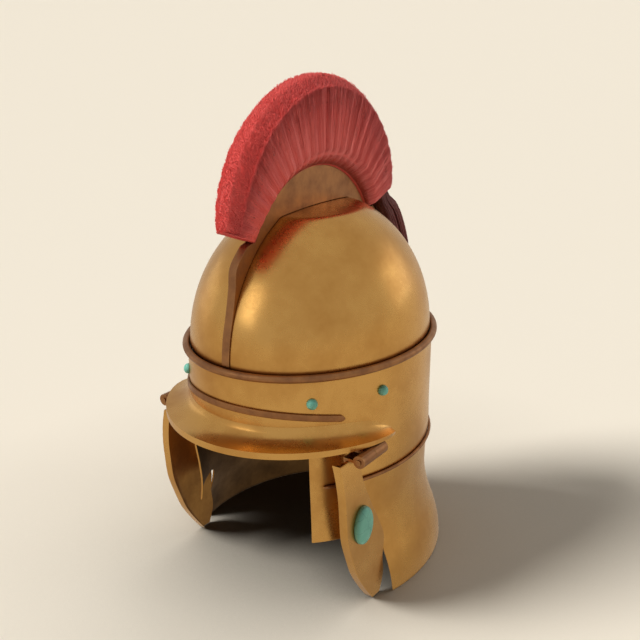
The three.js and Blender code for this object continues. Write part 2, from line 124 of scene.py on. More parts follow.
def oval(radius, angle, height, back=0.0):
    """Points of the oval with this half-width, at an angle from the front towards the left ear."""
    turn = np.radians(angle)
    return xyz(radius * np.sin(turn), back - OVAL * radius * np.cos(turn), height)


def spline(at, knots, values):
    """A smooth curve through values at rising knots, read at many places."""
    knots = np.asarray(knots, float)
    values = np.asarray(values, float)
    slopes = np.gradient(values, knots)
    step = np.clip(np.searchsorted(knots, at, side="right") - 1, 0, len(knots) - 2)
    width = knots[step + 1] - knots[step]
    share = np.clip((at - knots[step]) / width, 0, 1)
    rest = 1 - share
    ends = values[step] * (1 + 2 * share) * rest**2 + values[step + 1] * (1 + 2 * rest) * share**2
    return ends + (slopes[step] * rest - slopes[step + 1] * share) * share * rest * width


def curve_down(height, heights, values):
    """A smooth curve through values at falling heights."""
    return spline(-height, [-value for value in heights], values)


print(f"brow centre {BROW_CENTRE.round(2)} mm, oval {OVAL:.3f}, half-width {BOWL_RADIUS:.1f} mm")

# %% [markdown]
# ## From points to pieces
# Nearly everything here is sheet metal, a wire or a cast strip. Modifiers could thicken a plane,
# but then the inside couldn't have a finish of its own. So grids of points are made with arrays:
# a sheet is two grids with walls round their open edges, and a bar is a row of closed sections.
# A bevel modifier then breaks the sharp edges, because real ones always catch some light.

# %% Grids, sheets and bars
def grid_faces(rows, columns, closed=False):
    """Four-cornered faces between rows of points. A closed grid joins its last column to its first."""
    index = np.arange(rows * columns).reshape(rows, columns)
    if closed:
        index = np.hstack([index, index[:, :1]])
    corners = [index[:-1, :-1], index[:-1, 1:], index[1:, 1:], index[1:, :-1]]
    return np.stack(corners, axis=-1).reshape(-1, 4)


def weld(points, faces):
    """Joins points that lie in the same place, to a ten-thousandth of a millimetre."""
    _, first, place = np.unique(points.round(4), axis=0, return_index=True, return_inverse=True)
    return first, place.reshape(-1)[faces]


def sheet(outer, inner, faces):
    """A closed sheet of two faces with walls round their open edges, and its inner faces' numbers."""
    first, faces = weld(outer, faces)
    outer = outer[first]
    inner = inner[first]
    count = len(outer)
    edges = np.concatenate([faces[:, [i, (i + 1) % 4]] for i in range(4)])
    known = set(map(tuple, edges.tolist()))
    walls = [[b, a, a + count, b + count] for a, b in edges.tolist() if (b, a) not in known]
    inside = np.arange(len(faces), 2 * len(faces))
    faces = np.vstack([faces, faces[:, ::-1] + count] + ([walls] if walls else []))
    return np.vstack([outer, inner]), faces, inside


def bar(sections):
    """A closed bar through rows of points, each row going once round it, with flat ends."""
    rows, around = sections.shape[:2]
    faces = grid_faces(rows, around, closed=True).tolist()
    last = (rows - 1) * around
    ends = [list(range(around)), list(range(last, last + around))]
    return sections.reshape(-1, 3), faces + ends


def wire(line, radius, across, up, sides=20):
    """Round sections of a wire along a line, from its two side directions."""
    turn = np.linspace(0, 2 * np.pi, sides, endpoint=False)[:, None]
    ring = across[:, None] * np.cos(turn) + up[:, None] * np.sin(turn)
    return line[:, None] + ring * np.reshape(radius, (-1, 1, 1))


# %% Adding a piece
BEVEL_SEGMENTS = 3
SHARP_ANGLE = math.radians(40)


def add_piece(name, points, faces, finish, slot, body="helmet", nodes=(), edge=0.0):
    """Makes a mesh from points in millimetres from the brow centre, and lets it ride on a body."""
    mesh = bpy.data.meshes.new(name)
    corners = [list(dict.fromkeys(face)) for face in np.asarray(faces, object).tolist()]
    mesh.from_pydata(((points + BROW_CENTRE) * MM).tolist(), [], corners)
    shape = bmesh.new()
    shape.from_mesh(mesh)
    bmesh.ops.recalc_face_normals(shape, faces=shape.faces)
    shape.to_mesh(mesh)
    shape.free()
    mesh.shade_smooth()
    mesh.materials.append(finish)
    piece = bpy.data.objects.new(name, mesh)
    bpy.context.scene.collection.objects.link(piece)
    if edge:
        break_edges(piece, edge)
    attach(piece, body)
    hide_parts(*nodes)
    print(f"{name}: {len(mesh.polygons)} faces on {body}")
    return piece


def break_edges(piece, edge):
    """Rounds every sharp edge by this many millimetres, and keeps the flat faces flat to the light."""
    bevel = piece.modifiers.new("broken edges", "BEVEL")
    bevel.width = edge * MM
    bevel.segments = BEVEL_SEGMENTS
    bevel.angle_limit = SHARP_ANGLE
    piece.modifiers.new("flat faces", "WEIGHTED_NORMAL")


def line_inside(piece, faces, finish):
    """Gives the inner faces of a sheet a finish of their own."""
    piece.data.materials.append(finish)
    index = np.zeros(len(piece.data.polygons), np.int32)
    index[faces] = 1
    piece.data.polygons.foreach_set("material_index", index)


# %% [markdown]
# ## Finishes
# A finish starts from what the real surface is. Two small helpers are enough: one turns the hex
# colours of a paint chart into the linear numbers that light is worked out with, and one adds a
# node with its settings and whatever feeds it.

# %% Colour and node helpers
def colour(code):
    """A hex colour, as on a screen, as linear red, green, blue and alpha."""
    shades = [int(code[i:i + 2], 16) / 255 for i in (1, 3, 5)]
    linear = [s / 12.92 if s <= 0.04045 else ((s + 0.055) / 1.055) ** 2.4 for s in shades]
    return (*linear, 1.0)


def add_node(tree, kind, feeds, **settings):
    """Adds a node; feeds gives its sockets a value or another node's output."""
    made = tree.nodes.new("ShaderNode" + kind)
    for name, value in settings.items():
        setattr(made, name, value)
    for socket, value in feeds.items():
        if isinstance(value, bpy.types.NodeSocket):
            tree.links.new(value, made.inputs[socket])
        else:
            made.inputs[socket].default_value = value
    return made


def new_finish(name):
    """An empty material, with its shader and the place on the helmet in metres."""
    finish = bpy.data.materials.new(name)
    finish.use_nodes = True
    tree = finish.node_tree
    place = add_node(tree, "TexCoord", {}).outputs["Object"]
    return finish, tree, tree.nodes["Principled BSDF"], place


# A Mix node for colours: its factor, its two colours and its result.
MIX, FIRST, SECOND, MIXED = 0, 6, 7, 2
print("a middle grey is", round(colour("#808080")[0], 3), "in linear light")

# %% [markdown]
# ### Planished tin bronze
# The plates are tin bronze, hammered smooth with a flat-faced planishing hammer and then polished.
# That leaves shallow overlapping dimples about as wide as the hammer's face, which only show where
# a highlight crosses them. Polished bronze dulls unevenly as hands and air get at it, and dirt
# stays where a cloth can't reach, against the mouldings. A noise texture gives the dulling and cells
# give the dimples. Ambient occlusion darkens the corners and the places under and between parts,
# partly as that dirt and partly as painted shade. The backs of the cheek guards are left unpolished,
# and the inside of the helmet is painted dark, as painted shade for the shadow inside it.

# %% Planished tin bronze
PLANISH_WIDTH = 11 * MM
PLANISH_DEPTH = 0.07 * MM
TARNISH_SIZE = 48 * MM
SPECK_SIZE = 3 * MM
CORNER_REACH = 6 * MM


def make_bronze(name, bright, dull, grime_and_shade, smooth, rough):
    finish, tree, shader, place = new_finish(name)
    cloud = add_node(tree, "TexNoise", {
        "Vector": place, "Scale": 1 / TARNISH_SIZE, "Detail": 5.0, "Roughness": 0.6,
    }).outputs["Fac"]
    tarnish = add_node(tree, "MapRange", {
        "Value": cloud, "From Min": 0.4, "From Max": 0.7,
    }).outputs["Result"]
    speck = add_node(tree, "TexNoise", {
        "Vector": place, "Scale": 1 / SPECK_SIZE, "Detail": 3.0,
    }).outputs["Fac"]
    # Dirt and painted shade: ambient occlusion darkens corners and the places under and between parts.
    open_air = add_node(tree, "AmbientOcclusion", {"Distance": CORNER_REACH}, samples=8)
    corner = add_node(tree, "MapRange", {
        "Value": open_air.outputs["AO"], "From Min": 0.75, "From Max": 0.25,
    }).outputs["Result"]
    metal = add_node(tree, "Mix", {
        MIX: tarnish, FIRST: colour(bright), SECOND: colour(dull),
    }, data_type="RGBA").outputs[MIXED]
    soiled_and_shaded = add_node(tree, "Mix", {
        MIX: corner, FIRST: metal, SECOND: colour(grime_and_shade),
    }, data_type="RGBA").outputs[MIXED]
    worn = add_node(tree, "MapRange", {
        "Value": tarnish, "To Min": smooth, "To Max": rough,
    }).outputs["Result"]
    dusty = add_node(tree, "Math", {0: speck, 1: 0.1, 2: worn}, operation="MULTIPLY_ADD").outputs[0]
    cells = add_node(tree, "TexVoronoi", {
        "Vector": place, "Scale": 1 / PLANISH_WIDTH, "Smoothness": 0.6,
    }, feature="SMOOTH_F1").outputs["Distance"]
    # Squared, the distance from a cell's middle is a round dimple instead of a pit.
    dimples = add_node(tree, "Math", {0: cells, 1: cells}, operation="MULTIPLY").outputs[0]
    relief = add_node(tree, "Bump", {
        "Height": dimples, "Distance": PLANISH_DEPTH, "Strength": 1.0,
    }).outputs["Normal"]
    tree.links.new(soiled_and_shaded, shader.inputs["Base Color"])
    tree.links.new(dusty, shader.inputs["Roughness"])
    tree.links.new(relief, shader.inputs["Normal"])
    shader.inputs["Metallic"].default_value = 1.0
    return finish


bronze = make_bronze("planished_tin_bronze", "#E0AC62", "#CB944F", "#5A3A1D", 0.2, 0.3)
bronze_back = make_bronze("unpolished_tin_bronze", "#C08F4E", "#97693A", "#3A2714", 0.4, 0.55)
# Painted shade: the inside of the bowl and skirt is painted dark for the shadow inside the helmet.
bronze_painted_dark_inside = make_bronze("tin_bronze_painted_shade_inside", "#7A5A34", "#543B22", "#22170C", 0.45, 0.6)
print("bronze finishes:", bronze.name, bronze_back.name, bronze_painted_dark_inside.name)

# %% [markdown]
# ### Brown patinated bronze
# The mouldings, the ridge and the hinges are the same metal with a brown patina, brushed on hot
# and waxed. Handling rubs it thin on edges, where the yellow metal shows through again. Ambient
# occlusion taken inside the solid finds those edges.

# %% Brown patinated bronze
PATINA_SIZE = 14 * MM
RUBBED_REACH = 1.2 * MM


def make_patina(name, brown, dark, rubbed):
    finish, tree, shader, place = new_finish(name)
    cloud = add_node(tree, "TexNoise", {
        "Vector": place, "Scale": 1 / PATINA_SIZE, "Detail": 6.0, "Roughness": 0.65,
    }).outputs["Fac"]
    patch = add_node(tree, "MapRange", {
        "Value": cloud, "From Min": 0.38, "From Max": 0.66,
    }).outputs["Result"]
    within = add_node(tree, "AmbientOcclusion", {"Distance": RUBBED_REACH}, samples=8, inside=True)
    edge = add_node(tree, "MapRange", {
        "Value": within.outputs["AO"], "From Min": 0.8, "From Max": 0.35, "To Max": 0.7,
    }).outputs["Result"]
    coat = add_node(tree, "Mix", {
        MIX: patch, FIRST: colour(brown), SECOND: colour(dark),
    }, data_type="RGBA").outputs[MIXED]
    shown = add_node(tree, "Mix", {
        MIX: edge, FIRST: coat, SECOND: colour(rubbed),
    }, data_type="RGBA").outputs[MIXED]
    sheen = add_node(tree, "MapRange", {
        "Value": patch, "To Min": 0.34, "To Max": 0.52,
    }).outputs["Result"]
    relief = add_node(tree, "Bump", {
        "Height": cloud, "Distance": 0.1 * MM, "Strength": 0.4,
    }).outputs["Normal"]
    tree.links.new(shown, shader.inputs["Base Color"])
    tree.links.new(sheen, shader.inputs["Roughness"])
    tree.links.new(relief, shader.inputs["Normal"])
    shader.inputs["Metallic"].default_value = 1.0
    return finish


patina = make_patina("brown_patinated_bronze", "#AB784E", "#956848", "#C8965C")
print("patina:", patina.name)

# %% [markdown]
# ### Dyed horsehair
# Horsehair is a smooth, slightly shiny fibre. Dye takes unevenly, so neighbouring hairs differ in
# depth. The roots are painted darker than the tips, as painted shade for the shadow deep inside
# the brush. Each strand carries two numbers for this, its own tint and how far along it a point
# lies, and the finish mixes three shades by them.

# %% Dyed horsehair
def make_horsehair(name, deep, plain, bright, shine):
    finish, tree, shader, _ = new_finish(name)
    tint = add_node(tree, "Attribute", {}, attribute_name="tint").outputs["Fac"]
    along = add_node(tree, "Attribute", {}, attribute_name="along").outputs["Fac"]
    # Painted shade: each strand's colour darkens from about halfway up down to the deep colour at its
    # root.
    lit = add_node(tree, "MapRange", {
        "Value": along, "From Max": 0.55, "To Min": 0.25,
    }).outputs["Result"]
    dyed = add_node(tree, "Mix", {
        MIX: tint, FIRST: colour(plain), SECOND: colour(bright),
    }, data_type="RGBA").outputs[MIXED]
    shaded = add_node(tree, "Mix", {
        MIX: lit, FIRST: colour(deep), SECOND: dyed,
    }, data_type="RGBA").outputs[MIXED]
    tree.links.new(shaded, shader.inputs["Base Color"])
    shader.inputs["Roughness"].default_value = shine
    shader.inputs["IOR"].default_value = 1.55
    return finish


red_hair = make_horsehair("red_dyed_horsehair", "#9E3833", "#DC514C", "#EE6C65", 0.5)
dark_hair = make_horsehair("dark_red_dyed_horsehair", "#3E1617", "#6A2626", "#8C3F3C", 0.5)
print("hair finishes:", red_hair.name, dark_hair.name)

# %% [markdown]
# ### Polished turquoise
# The stones are turquoise, ground to low domes and polished. It is an opaque stone of blue-green
# clouds with thin dark veins of the rock that it grew in, and a waxy gloss.

# %% Polished turquoise
STONE_CLOUD = 7 * MM
VEIN_SPACING = 11 * MM


def make_turquoise():
    finish, tree, shader, place = new_finish("polished_turquoise")
    cloud = add_node(tree, "TexNoise", {
        "Vector": place, "Scale": 1 / STONE_CLOUD, "Detail": 4.0,
    }).outputs["Fac"]
    bent = add_node(tree, "TexNoise", {
        "Vector": place, "Scale": 1 / (4 * MM), "Detail": 3.0,
    }).outputs["Color"]
    wander = add_node(tree, "VectorMath", {
        0: bent, 1: (5 * MM, 5 * MM, 5 * MM), 2: place,
    }, operation="MULTIPLY_ADD").outputs[0]
    crack = add_node(tree, "TexVoronoi", {
        "Vector": wander, "Scale": 1 / VEIN_SPACING,
    }, feature="DISTANCE_TO_EDGE").outputs["Distance"]
    vein = add_node(tree, "MapRange", {
        "Value": crack, "From Min": 0.03, "From Max": 0.0, "To Max": 0.4,
    }).outputs["Result"]
    body = add_node(tree, "Mix", {
        MIX: cloud, FIRST: colour("#5CAA96"), SECOND: colour("#7AC0AC"),
    }, data_type="RGBA").outputs[MIXED]
    stone = add_node(tree, "Mix", {
        MIX: vein, FIRST: body, SECOND: colour("#33594D"),
    }, data_type="RGBA").outputs[MIXED]
    tree.links.new(stone, shader.inputs["Base Color"])
    shader.inputs["Roughness"].default_value = 0.24
    shader.inputs["IOR"].default_value = 1.61
    return finish


turquoise = make_turquoise()
print("stone:", turquoise.name)

# %% [markdown]
# ## The bowl
# The bowl was raised from one sheet: an egg-like dome, longer than it is wide, whose top is
# flattened into a small round crown. A lathe profile stretched into the oval gives it exactly. The
# crease round the crown is soft, so the two curves are blended over a few millimetres.

# %% Bowl
BOWL_HEIGHT = 113
BOWL_LAP = 14
CROWN_RADIUS = 38
CROWN_RISE = 1.7
CROWN_CREASE = 1.6
AROUND = 192


def bowl_height(radius):
    """Height of the bowl's outside above the brow ring, at a half-width."""
    dome = BOWL_HEIGHT * np.sqrt(np.clip(1 - (radius / BOWL_RADIUS) ** 2, 0, 1))
    edge = BOWL_HEIGHT * math.sqrt(1 - (CROWN_RADIUS / BOWL_RADIUS) ** 2)
    crown = edge + CROWN_RISE * (1 - (radius / CROWN_RADIUS) ** 2)
    blend = np.clip(0.5 + 0.5 * (crown - dome) / CROWN_CREASE, 0, 1)
    return lerp(crown, dome, blend) - CROWN_CREASE * blend * (1 - blend) / 2


def bowl_radius(height):
    return BOWL_RADIUS * np.sqrt(1 - (np.asarray(height) / BOWL_HEIGHT) ** 2)


radii = BOWL_RADIUS * np.cos(np.linspace(0, np.pi / 2, 64))
rows = np.concatenate([[BOWL_RADIUS, BOWL_RADIUS], radii])
heights = np.concatenate([[-BOWL_LAP, -BOWL_LAP / 2], bowl_height(radii)])
around = np.linspace(0, 360, AROUND, endpoint=False)
outer = oval(rows[:, None], around, heights[:, None]).reshape(-1, 3)
thin = np.array([1 - WALL / BOWL_RADIUS, 1 - WALL / BOWL_RADIUS, 1 - WALL / BOWL_HEIGHT])
thinner = np.where(outer[:, 2:] < 0, [thin[0], thin[1], 1.0], thin)
points, faces, inside = sheet(outer, outer * thinner, grid_faces(len(rows), AROUND, closed=True))
bowl = add_piece("helmet_bowl", points, faces, bronze, "bronze", nodes=["bowl"], edge=0.4)
line_inside(bowl, inside, bronze_painted_dark_inside)

# %% [markdown]
# ## The skirt
# Below the brow hangs a second sheet: a plain band over the forehead, side walls that leave the
# face open, and a neck guard that flares out to the rim. It is made as three grids that share
# their edges, because a hole cut with a boolean would leave ragged faces at the opening.

# %% Skirt
SKIRT_TOP = -3.2
FACE_TOP = -48
SIDE_BOTTOM = -140
SKIRT_FOOT = -197
FACE_ANGLE = 38.5
# Half-width at each height, and how far that level lies behind the brow.
SKIRT_HEIGHTS = (-3.2, -32, -60, -84, -106, -126, -140, -155, -171, -186, -197)
SKIRT_RADII = (93.2, 93.2, 93.2, 93, 91, 90.4, 91.8, 95, 100, 103.2, 104.2)
SKIRT_BACKS = (0, 0, 0, 1, 2, 3, 3.5, 4, 4.6, 5.2, 5.5)
# The neck guard's front edge, from its upper corner to the floor.
NECK_EDGE_HEIGHTS = (-140, -142, -145, -197)
NECK_EDGE_Y = (-38, -34.6, -33, -29)


def skirt_at(height):
    """Half-width and setback of the skirt at a height."""
    radius = curve_down(height, SKIRT_HEIGHTS, SKIRT_RADII)
    return radius, curve_down(height, SKIRT_HEIGHTS, SKIRT_BACKS)


def neck_edge(height):
    """Angle at which the neck guard starts, at a height."""
    radius, back = skirt_at(height)
    y = np.interp(-height, [-value for value in NECK_EDGE_HEIGHTS], NECK_EDGE_Y)
    return np.degrees(np.arccos((back - y) / (OVAL * radius)))


def skirt_patch(heights, starts, shares):
    """Points and faces of a part of the skirt, between a start angle and its mirror image."""
    radius, back = skirt_at(heights)
    angles = lerp(starts[:, None], 360 - starts[:, None], shares)
    points = oval(radius[:, None], angles, heights[:, None], back[:, None]).reshape(-1, 3)
    return points, grid_faces(len(heights), len(shares))


corner_heights = np.linspace(NECK_EDGE_HEIGHTS[0], NECK_EDGE_HEIGHTS[2], 6)
neck_heights = np.concatenate([corner_heights, np.linspace(-147, SKIRT_FOOT, 26)])
neck_starts = neck_edge(neck_heights)
corner = float(neck_starts[0])
back_shares = np.linspace(0, 1, 131)
back_angles = lerp(corner, 360 - corner, back_shares)
front_angles = np.linspace(FACE_ANGLE, corner, 19)[:-1]
side_angles = np.concatenate([front_angles, back_angles, 360 - front_angles[::-1]])
side_heights = np.linspace(FACE_TOP, SIDE_BOTTOM, 44)
side_shares = (side_angles - FACE_ANGLE) / (360 - 2 * FACE_ANGLE)
brow_angles = np.concatenate([side_angles, 360 + np.linspace(-FACE_ANGLE, FACE_ANGLE, 40)[1:]])
brow_heights = np.linspace(SKIRT_TOP, FACE_TOP, 22)
patches = [
    skirt_patch(brow_heights, np.zeros(len(brow_heights)), brow_angles / 360),
    skirt_patch(side_heights, np.full(len(side_heights), FACE_ANGLE), side_shares),
    skirt_patch(neck_heights, neck_starts, back_shares),
]
starts = np.cumsum([0] + [len(patch[0]) for patch in patches[:-1]])
outer = np.vstack([patch[0] for patch in patches])
faces = np.vstack([patch[1] + start for patch, start in zip(patches, starts)])
radius, back = skirt_at(outer[:, 2])
middle = xyz(0, back, outer[:, 2])
inner = middle + (outer - middle) * (1 - WALL / radius)[:, None]
points, faces, inside = sheet(outer, inner, faces)
skirt = add_piece("helmet_skirt", points, faces, bronze, "bronze", nodes=["skirt"], edge=0.45)
line_inside(skirt, inside, bronze_painted_dark_inside)

# %% [markdown]
# ## Mouldings
# A half-round moulding hides the joint between bowl and skirt, and a thinner wire runs round the
# sides and the back of the neck. Both are drawn wire bent to the oval. The thin wire's ends are
# rounded over, so its sections shrink along a quarter circle there.

# %% Brow ring and neck ring
BROW_WIRE = 2.9
NECK_WIRE = 1.3
NECK_RING_HEIGHT = -90.5
NECK_RING_START = 44
# Degrees over which the thin wire's ends are rounded.
NECK_WIRE_END = 1.2


def ring_sections(radius, angles, height, back, wire_radius):
    """Round sections along an oval ring."""
    line = oval(radius, angles, height, back)
    turn = np.radians(angles)
    across = xyz(OVAL * np.sin(turn), -np.cos(turn), 0)
    across /= np.linalg.norm(across, axis=1)[:, None]
    up = np.tile([0.0, 0.0, 1.0], (len(angles), 1))
    return wire(line, wire_radius, across, up)


sections = ring_sections(BOWL_RADIUS + SEAT + BROW_WIRE, around, 0.0, 0.0, BROW_WIRE)
points = sections.reshape(-1, 3)
faces = grid_faces(AROUND, sections.shape[1], closed=True)
last_row = len(points) - sections.shape[1]
seam = np.arange(sections.shape[1])
closing = np.stack([last_row + seam, last_row + np.roll(seam, -1), np.roll(seam, -1), seam], axis=-1)
faces = np.vstack([faces, closing])
add_piece("brow_moulding", points, faces, patina, "brown_bronze", nodes=["brow_ring"])

radius, back = skirt_at(np.array(NECK_RING_HEIGHT))
angles = np.linspace(NECK_RING_START, 360 - NECK_RING_START, 160)
to_end = np.minimum(angles - NECK_RING_START, 360 - NECK_RING_START - angles)
rounded = np.sqrt(np.clip(to_end / NECK_WIRE_END, 0.01, 1))
neck_radius = radius + SEAT + NECK_WIRE
sections = ring_sections(neck_radius, angles, NECK_RING_HEIGHT, back, NECK_WIRE * rounded)
add_piece("neck_wire", *bar(sections), patina, "brown_bronze", nodes=["neck_ring"])

# %% [markdown]
# ## The brow strip and the peak
# The strip is a flat bar bowed over the forehead. The peak is a crescent of thicker sheet that
# sweeps out from the brow in a hollow curve and ends in a thick, flat-filed rim. Both are bars: a
# section is drawn once and carried round the oval, changing as it goes.

# %% Brow strip
STRIP_ANGLE = 54
STRIP_MIDDLE = -27
STRIP_ENDS = -35
STRIP_TALL = 5
STRIP_THICK = 1.6
# A squarish oval: a flat bar whose corners are worn round.
STRIP_SQUARE = 0.35
STRIP_END_SHARE = 0.03

spread = np.linspace(-1, 1, 140)
middle = lerp(STRIP_MIDDLE, STRIP_ENDS, spread**2)
turn = np.linspace(0, 2 * np.pi, 24, endpoint=False)
height_share = np.sign(np.sin(turn)) * np.abs(np.sin(turn)) ** STRIP_SQUARE
thick_share = np.sign(np.cos(turn)) * np.abs(np.cos(turn)) ** STRIP_SQUARE
ends = np.sqrt(np.clip((1 - np.abs(spread)) / STRIP_END_SHARE, 0.02, 1))
lift = SKIRT_RADIUS + SEAT + STRIP_THICK / 2 * (1 + thick_share)
heights = middle[:, None] + STRIP_TALL / 2 * ends[:, None] * height_share
strip = oval(lift, STRIP_ANGLE * spread[:, None], heights)
add_piece("brow_strip_bar", *bar(strip), patina, "brown_bronze", nodes=["brow_strip"])

# %% Peak
PEAK_ANGLE = 77.5
# In front and at the tips: how far out it reaches, and the heights of its root and its edge.
PEAK_REACH = (18, 5)
PEAK_ROOT = (-38.5, -54)
PEAK_EDGE = (-49.2, -56)
PEAK_THICK = 2
PEAK_RIM = 5.2
# How suddenly the peak draws in, and how suddenly its rim thins, towards the tips.
PEAK_SWEEP = 8
PEAK_THINNING = 4

along = np.linspace(-1, 1, 240)[:, None]
spread = along**PEAK_SWEEP
reach = lerp(*PEAK_REACH, spread)
root = lerp(*PEAK_ROOT, spread)
edge = lerp(*PEAK_EDGE, spread)
rim = lerp(PEAK_RIM, PEAK_THICK, along**PEAK_THINNING)
out = np.linspace(0, 1, 22)
top = lerp(root, edge, np.sqrt(out * (2 - out)))
under = top - lerp(PEAK_THICK, rim, out**3)
distance = np.hstack([reach * out, (reach * out)[:, ::-1]])
heights = np.hstack([top, under[:, ::-1]])
peak = oval(SKIRT_RADIUS + SEAT + distance, PEAK_ANGLE * along, heights)
add_piece("brow_peak_plate", *bar(peak), bronze, "bronze", nodes=["brow_peak"], edge=0.6)

# %% [markdown]
# ## Stones and bosses
# Four round stones sit on the brow, and an oval boss on each cheek. All are cabochons, stones
# ground to a plain dome: the small ones nearly half a ball, the bosses flatter with a rounded
# shoulder. One profile with a squareness that can be chosen makes both.

# %% Cabochons
STONE_ANGLES = (-72, -40, 40, 72)
STONE_HEIGHT = -20.5
STONE_RADIUS = 4.2
STONE_TALL = 4.4
# A flat-bottomed stone is let into the curved band by this much.
STONE_SINK = 0.15


def cabochon(squareness, rows=16, sides=48):
    """Points of a dome of unit half-width and height along Z, with its flat bottom, and its faces."""
    climb = np.linspace(0, np.pi / 2, rows)[:, None]
    turn = np.linspace(0, 2 * np.pi, sides, endpoint=False)
    wide = np.cos(climb) ** (2 / squareness)
    wide[-1] = 0
    tall = np.sin(climb) ** (2 / squareness)
    dome = xyz(wide * np.cos(turn), wide * np.sin(turn), tall)
    flat = np.zeros((1, sides, 3))
    points = np.concatenate([flat, dome]).reshape(-1, 3)
    first, faces = weld(points, grid_faces(rows + 1, sides, closed=True))
    return points[first], faces


dome, dome_faces = cabochon(2.2)
for number, angle in enumerate(STONE_ANGLES, start=1):
    foot = oval(SKIRT_RADIUS + SEAT - STONE_SINK, angle, STONE_HEIGHT)
    facing = np.array([OVAL * math.sin(math.radians(angle)), -math.cos(math.radians(angle)), 0])
    facing /= np.linalg.norm(facing)
    across = np.array([-facing[1], facing[0], 0])
    up = np.array([0, 0, 1.0])
    size = np.array([STONE_RADIUS, STONE_RADIUS, STONE_TALL])
    points = foot + (dome * size) @ np.stack([across, up, facing])
    name = f"brow_stone_{number}"
    add_piece(f"turquoise_{number}", points, dome_faces, turquoise, "turquoise", nodes=[name])

# %% [markdown]
# ## The cheek guards
# Each cheek guard is a plate that hangs from a hinge, leans out over the cheek and narrows to the
# jaw. Its front edge is turned back on itself, which stiffens it and shows as a broad bright edge.
# The left one is drawn and the right one mirrored.

# %% Cheek guards and bosses
GUARD_FACE = 92
GUARD_LEAN = 5
GUARD_LEAN_HEIGHT = -100
GUARD_THICK = 2.4
GUARD_EDGE_THICK = 7
GUARD_EDGE_WIDTH = 0.17
# Front and rear edge at each height, from the hinge to the jaw.
GUARD_HEIGHTS = (-62.5, -84, -108, -127, -146, -164, -181, -195.8)
GUARD_FRONT = (-89.5, -88.7, -87, -84.6, -78, -70.3, -59.2, -48)
GUARD_REAR = (-65.5, -63, -52, -41, -32.5, -33.7, -32.3, -37.5)


def guard_face(height):
    lean = np.clip(height - GUARD_LEAN_HEIGHT, 0, None) / (GUARD_HEIGHTS[0] - GUARD_LEAN_HEIGHT)
    return GUARD_FACE - GUARD_LEAN * lean**2


def make_guard():
    """Points, faces and inner faces of the left cheek guard."""
    heights = np.linspace(GUARD_HEIGHTS[0], GUARD_HEIGHTS[-1], 80)
    front = curve_down(heights, GUARD_HEIGHTS, GUARD_FRONT)
    rear = curve_down(heights, GUARD_HEIGHTS, GUARD_REAR)
    share = np.linspace(0, 1, 34)
    y = lerp(front[:, None], rear[:, None], share)
    turned = np.clip(1 - share / GUARD_EDGE_WIDTH, 0, 1) ** 2
    thick = lerp(GUARD_THICK, GUARD_EDGE_THICK, turned)
    face = guard_face(heights)[:, None]
    outer = xyz(face, y, heights[:, None]).reshape(-1, 3)
    inner = xyz(face - thick, y, heights[:, None]).reshape(-1, 3)
    return sheet(outer, inner, grid_faces(*y.shape))


guard_points, guard_faces, guard_inside = make_guard()
boss_dome, boss_faces = cabochon(3.4, rows=20, sides=72)
for side, mirror in (("left", 1), ("right", -1)):
    body = f"{side}_cheek"
    flip = np.array([mirror, 1, 1])
    guard = add_piece(f"cheek_plate_{side}", guard_points * flip, guard_faces, bronze, "bronze",
                      body=body, nodes=[f"cheek_guard_{side}"], edge=0.7)
    line_inside(guard, guard_inside, bronze_back)
    low, high = (np.array(point) / MM - BROW_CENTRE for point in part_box(f"cheek_boss_{side}"))
    half = (high - low) / 2
    centre = (high + low) / 2
    foot = GUARD_FACE + SEAT
    proud = max(abs(low[0]), abs(high[0])) - foot
    x = mirror * (foot + proud * boss_dome[:, 2])
    y = centre[1] + half[1] * boss_dome[:, 0]
    z = centre[2] + half[2] * boss_dome[:, 1]
    add_piece(f"cheek_stone_{side}", xyz(x, y, z), boss_faces, turquoise, "turquoise",
              body=body, nodes=[f"cheek_boss_{side}"])

# %% [markdown]
# ## Hinges
# The hinge leaves, lugs and pins have the right shape in the frame already, so they stay. They
# only get the brown finish, and smooth shading where their facets stand for round bars.

# %% Hinges
ROUND_BELOW = math.radians(30)
for side in ("left", "right"):
    for part in ("leaf", "lug", "pin"):
        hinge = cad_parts[f"hinge_{part}_{side}"]
        hinge.data.shade_smooth()
        hinge.data.set_sharp_from_angle(angle=ROUND_BELOW)
        hinge.data.materials.clear()
        hinge.data.materials.append(patina)
        print(hinge.name, "keeps its own shape")

# %% [markdown]
# ## The crest's ridge
# A brown fin runs over the bowl from front to back and carries the crest on its arched top. It is
# one plate cut to an outline, so it is made as a bar between two lines: the outer line up the
# front, under the crest and down the back, and the line where it sits on the bowl.

# %% Crest measures
CREST_CENTRE = np.array([-2.5, 60])
CREST_INNER = {"centre": np.array([-3, 51]), "radius": 84.5}
CREST_OUTER = {"centre": np.array([0.5, 92]), "radius": 103}
CREST_END_ANGLE = 22.3


def crest_out(angle):
    """The way out from the crest's centre, in Y and Z, at an angle up from the front."""
    turn = np.radians(angle)
    return np.stack([-np.cos(turn), np.sin(turn)], axis=-1)


def reach_to(circle, angle):
    """Distance from the crest's centre to a circle, along the way out."""
    offset = CREST_CENTRE - circle["centre"]
    along = crest_out(angle) @ offset
    return np.sqrt(along**2 - offset @ offset + circle["radius"] ** 2) - along


def crest_point(angle, distance, across=0.0, along=0.0):
    """Points of the crest: angle, distance out, and offsets across and along the arch."""
    out = crest_out(angle)
    y = CREST_CENTRE[0] + out[..., 0] * distance + out[..., 1] * along
    z = CREST_CENTRE[1] + out[..., 1] * distance - out[..., 0] * along
    return xyz(across, y, z)


top_of_arch = crest_point(np.array(90.0), reach_to(CREST_INNER, np.array(90.0)))
print("the crest sits", round(float(top_of_arch[2]), 1), "mm above the brow")

